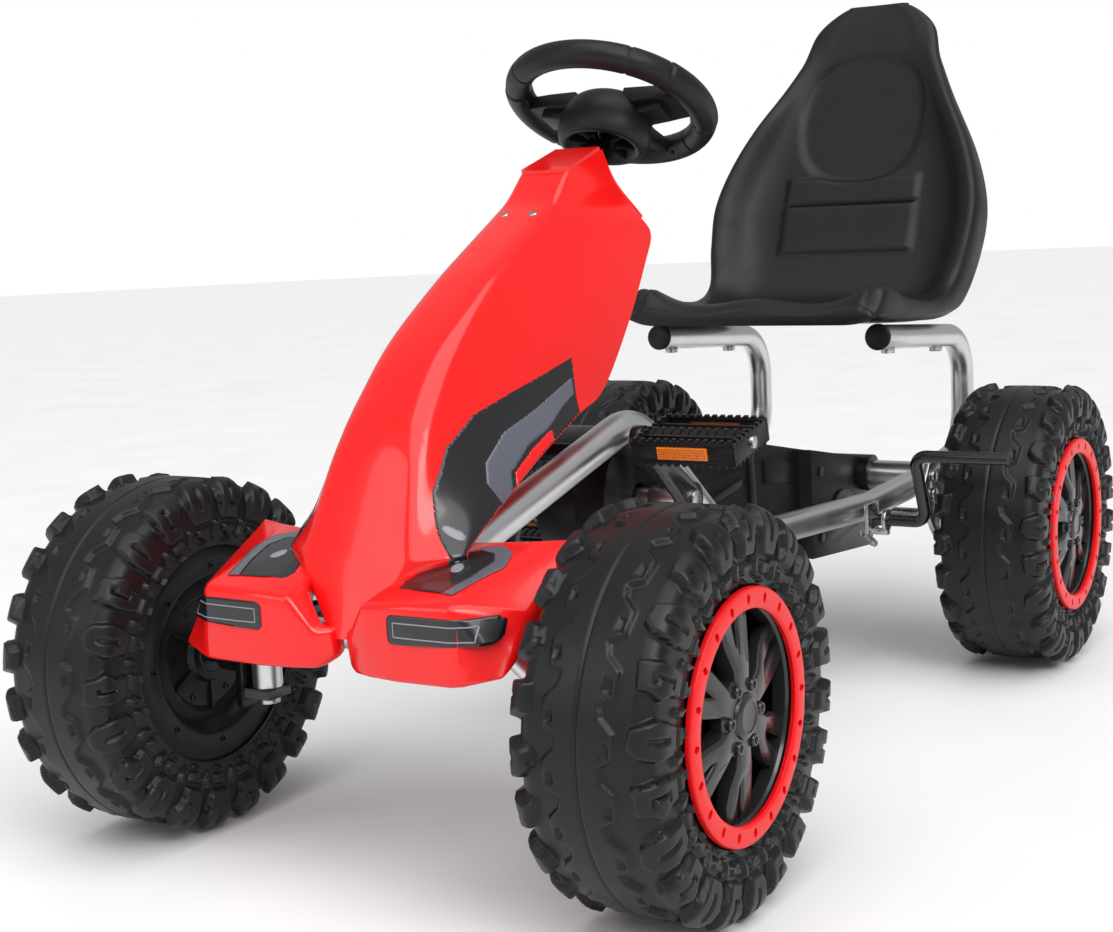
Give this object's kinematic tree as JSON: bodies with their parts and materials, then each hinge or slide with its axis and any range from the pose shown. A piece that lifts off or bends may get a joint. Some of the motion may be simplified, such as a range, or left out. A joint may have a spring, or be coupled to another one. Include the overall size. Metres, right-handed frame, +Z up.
{
  "type": "pedal go-kart",
  "caption": "Child's pedal go-kart: silver tube frame, red cowl with split nose, black bucket seat, steering wheel, enclosed chain drive, hand brake and chunky plastic wheels.",
  "frame": {"origin": "on the ground under the middle of the overall box", "axes": "+X forwards, +Y to the rider's left, +Z up"},
  "size_m": [1.14, 0.5854, 0.7107],
  "materials": {
    "tyre_plastic": "satin moulded plastic",
    "rim_plastic": "matt moulded plastic",
    "spoke_plastic": "gloss dark grey",
    "red_ring": "gloss red",
    "red_shell": "gloss red shell with dark and grey stripe panels",
    "silver_paint": "silver lacquer",
    "bright_steel": "zinc plated",
    "black_plastic": "fine grained",
    "seat_plastic": "fine grained moulded plastic",
    "black_paint": "black lacquer",
    "amber": "amber reflector",
    "grip_rubber": "soft touch"
  },
  "bodies": {
    "chassis": {"rear_cross_tube": "silver_paint", "frame_tube_left": "silver_paint", "frame_tube_right": "silver_paint", "seat_tube_left": "silver_paint", "seat_tube_right": "silver_paint", "seat_tube_caps": "black_plastic", "front_beam": "silver_paint", "rear_bracket_left": "silver_paint", "rear_bracket_right": "silver_paint", "bracket_bolts": "bright_steel", "axle_bearings": "bright_steel", "crank_hangers": "silver_paint", "seat_bucket": "seat_plastic", "seat_bolts": "bright_steel", "drive_chain": "bright_steel", "chain_case_left": "black_plastic", "chain_case_right": "black_plastic", "kingpins": "bright_steel", "front_cowl": "red_shell", "nose_cheek_left": "red_shell", "nose_cheek_right": "red_shell", "column_bushes": "black_plastic", "brake_bracket": "bright_steel"},
    "steering": {"steering_rim": "grip_rubber", "steering_hub": "grip_rubber", "steering_shaft": "black_paint", "pitman_arm": "black_paint"},
    "left_tie_rod": {"tie_rod_left": "bright_steel"},
    "right_tie_rod": {"tie_rod_right": "bright_steel"},
    "left_knuckle": {"knuckle_left": "black_paint"},
    "right_knuckle": {"knuckle_right": "black_paint"},
    "front_left_wheel": {"tyre_front_left": "tyre_plastic", "rim_front_left": "rim_plastic", "bead_ring_front_left": "red_ring", "spokes_front_left": "spoke_plastic"},
    "front_right_wheel": {"tyre_front_right": "tyre_plastic", "rim_front_right": "rim_plastic", "bead_ring_front_right": "red_ring", "spokes_front_right": "spoke_plastic"},
    "rear_axle_set": {"rear_axle": "bright_steel", "rear_axle_collars": "bright_steel", "rear_sprocket": "bright_steel", "tyre_rear_left": "tyre_plastic", "rim_rear_left": "rim_plastic", "bead_ring_rear_left": "red_ring", "spokes_rear_left": "spoke_plastic", "tyre_rear_right": "tyre_plastic", "rim_rear_right": "rim_plastic", "bead_ring_rear_right": "red_ring", "spokes_rear_right": "spoke_plastic"},
    "crank": {"crank_axle": "bright_steel", "crank_arm_left": "black_paint", "crank_arm_right": "black_paint", "pedal_spindles": "bright_steel", "chainwheel": "bright_steel"},
    "left_pedal": {"pedal_left": "black_plastic", "pedal_reflectors_left": "amber"},
    "right_pedal": {"pedal_right": "black_plastic", "pedal_reflectors_right": "amber"},
    "brake": {"brake_lever": "black_paint"}
  },
  "joints": [
    {"name": "steering_turn", "type": "hinge", "parent": "chassis", "child": "steering", "pos_m": [0.0795, 0, 0.578], "axis": [-0.4772, 0, 0.8788], "range_deg": [-30, 30]},
    {"name": "left_steer", "type": "hinge", "parent": "chassis", "child": "left_knuckle", "pos_m": [0.425, 0.138, 0.145], "axis": [0, 0, 1], "range_deg": [-22.1, 22.1]},
    {"name": "right_steer", "type": "hinge", "parent": "chassis", "child": "right_knuckle", "pos_m": [0.425, -0.138, 0.145], "axis": [0, 0, 1], "range_deg": [-22.1, 22.1]},
    {"name": "left_rod_swing", "type": "hinge", "parent": "steering", "child": "left_tie_rod", "pos_m": [0.25824, 0.01, 0.1482], "axis": [-0.4772, 0, 0.8788], "range_deg": [-32, 32]},
    {"name": "right_rod_swing", "type": "hinge", "parent": "steering", "child": "right_tie_rod", "pos_m": [0.25824, -0.01, 0.1482], "axis": [-0.4772, 0, 0.8788], "range_deg": [-32, 32]},
    {"name": "front_left_spin", "type": "hinge", "parent": "left_knuckle", "child": "front_left_wheel", "pos_m": [0.425, 0.2345, 0.145], "axis": [0, 1, 0], "continuous": true},
    {"name": "front_right_spin", "type": "hinge", "parent": "right_knuckle", "child": "front_right_wheel", "pos_m": [0.425, -0.2345, 0.145], "axis": [0, 1, 0], "continuous": true},
    {"name": "rear_axle_spin", "type": "hinge", "parent": "chassis", "child": "rear_axle_set", "pos_m": [-0.34, 0, 0.145], "axis": [0, 1, 0], "continuous": true},
    {"name": "crank_spin", "type": "hinge", "parent": "chassis", "child": "crank", "pos_m": [0.124, 0, 0.236], "axis": [0, 1, 0], "continuous": true},
    {"name": "left_pedal_spin", "type": "hinge", "parent": "crank", "child": "left_pedal", "pos_m": [0.20866, 0.144, 0.29979], "axis": [0, 1, 0], "continuous": true},
    {"name": "right_pedal_spin", "type": "hinge", "parent": "crank", "child": "right_pedal", "pos_m": [0.03934, -0.144, 0.17221], "axis": [0, 1, 0], "continuous": true},
    {"name": "brake_pull", "type": "hinge", "parent": "chassis", "child": "brake", "pos_m": [-0.21, 0.15, 0.163], "axis": [0, -1, 0], "range_deg": [0, 31], "stiffness_Nm_per_rad": 0.6, "springref_deg": -28.65}
  ],
  "couplings": [
    {"joint": "left_steer", "follows": "steering_turn", "ratio": 0.72},
    {"joint": "right_steer", "follows": "steering_turn", "ratio": 0.72},
    {"joint": "left_rod_swing", "follows": "steering_turn", "ratio": -1.035},
    {"joint": "right_rod_swing", "follows": "steering_turn", "ratio": -1.035},
    {"joint": "crank_spin", "follows": "rear_axle_spin", "ratio": 0.5}
  ]
}
